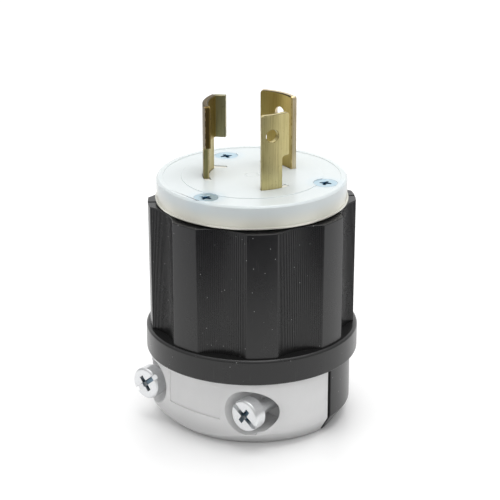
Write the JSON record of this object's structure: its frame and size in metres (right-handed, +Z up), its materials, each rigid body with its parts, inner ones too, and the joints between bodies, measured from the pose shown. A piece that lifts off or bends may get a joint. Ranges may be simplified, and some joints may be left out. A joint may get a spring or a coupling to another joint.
{
  "type": "locking power plug",
  "caption": "Round grounding locking plug: fluted black barrel, white face with curved brass blades, and a cord clamp with a pale grey jaw.",
  "frame": {"origin": "on the plug's axis, at the foot of the cord clamp that it stands on", "axes": "+Z up the plug's axis to the blades, -Y out of the clamp's pale jaw, +X to the right of someone who faces that jaw"},
  "size_m": [0.0644, 0.0644, 0.0983],
  "materials": {
    "black_nylon": "moulded black nylon, satin, dusty in the flutes",
    "pale_grey_plastic": "moulded pale grey plastic, translucent",
    "white_nylon": "moulded white nylon, slightly translucent",
    "cream_nylon": "moulded pale nylon",
    "blade_brass": "stamped brass, tarnished and rubbed",
    "terminal_brass": "plain brass",
    "ground_screw_green": "green dyed screw",
    "zinc_steel": "zinc plated steel",
    "insert_brass": "turned brass"
  },
  "bodies": {
    "plug": {"shell": "black_nylon", "face_plate": "white_nylon", "blade_retainer": "cream_nylon", "wide_blade": "blade_brass", "wide_pressure_plate": "terminal_brass", "wide_terminal_screw": "terminal_brass", "narrow_blade": "blade_brass", "narrow_pressure_plate": "terminal_brass", "narrow_terminal_screw": "terminal_brass", "ground_blade": "blade_brass", "ground_pressure_plate": "terminal_brass", "ground_terminal_screw": "ground_screw_green", "left_clamp_screw": "zinc_steel", "left_clamp_nut": "zinc_steel", "right_clamp_screw": "zinc_steel", "right_clamp_nut": "zinc_steel", "rear_assembly_screw": "zinc_steel", "rear_insert": "insert_brass", "right_assembly_screw": "zinc_steel", "right_insert": "insert_brass", "front_assembly_screw": "zinc_steel", "front_insert": "insert_brass"},
    "jaw": {"clamp_jaw": "pale_grey_plastic"}
  },
  "joints": [
    {"name": "jaw_slide", "type": "slide", "parent": "plug", "child": "jaw", "axis": [0, -1, 0], "range_m": [-0.00115, 0.0108]}
  ]
}
